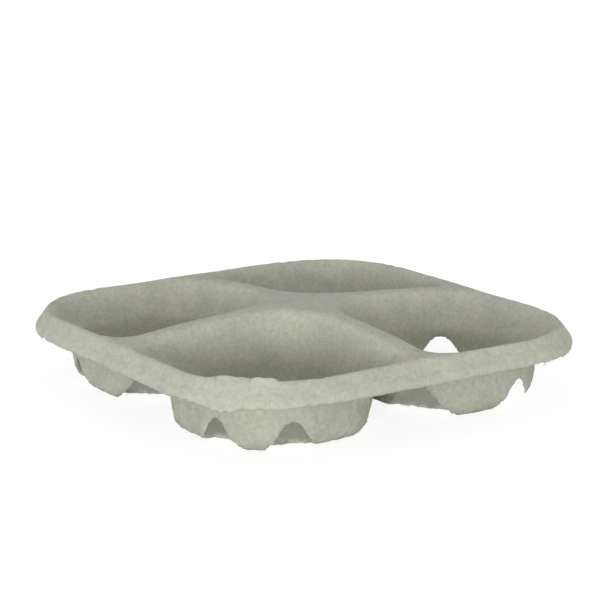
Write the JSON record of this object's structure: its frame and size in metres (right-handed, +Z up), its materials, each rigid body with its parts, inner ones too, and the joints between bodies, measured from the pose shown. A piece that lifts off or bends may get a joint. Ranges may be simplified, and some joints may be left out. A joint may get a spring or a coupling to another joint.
{
  "type": "cup carrier",
  "caption": "Square moulded-pulp tray with rounded corners: funnel-shaped wells on arched feet hold takeaway cups upright, with raised saddles between them and a turned-down rim.",
  "frame": {"origin": "on the plane that the feet stand on, under the middle of the tray", "axes": "+Z up; +X and +Y square to the tray's sides"},
  "size_m": [0.212, 0.212, 0.042],
  "materials": {
    "pulp": "matt, fibrous, grey moulded paper pulp"
  },
  "bodies": {
    "root": {"cup_carrier": "pulp"}
  },
  "joints": []
}
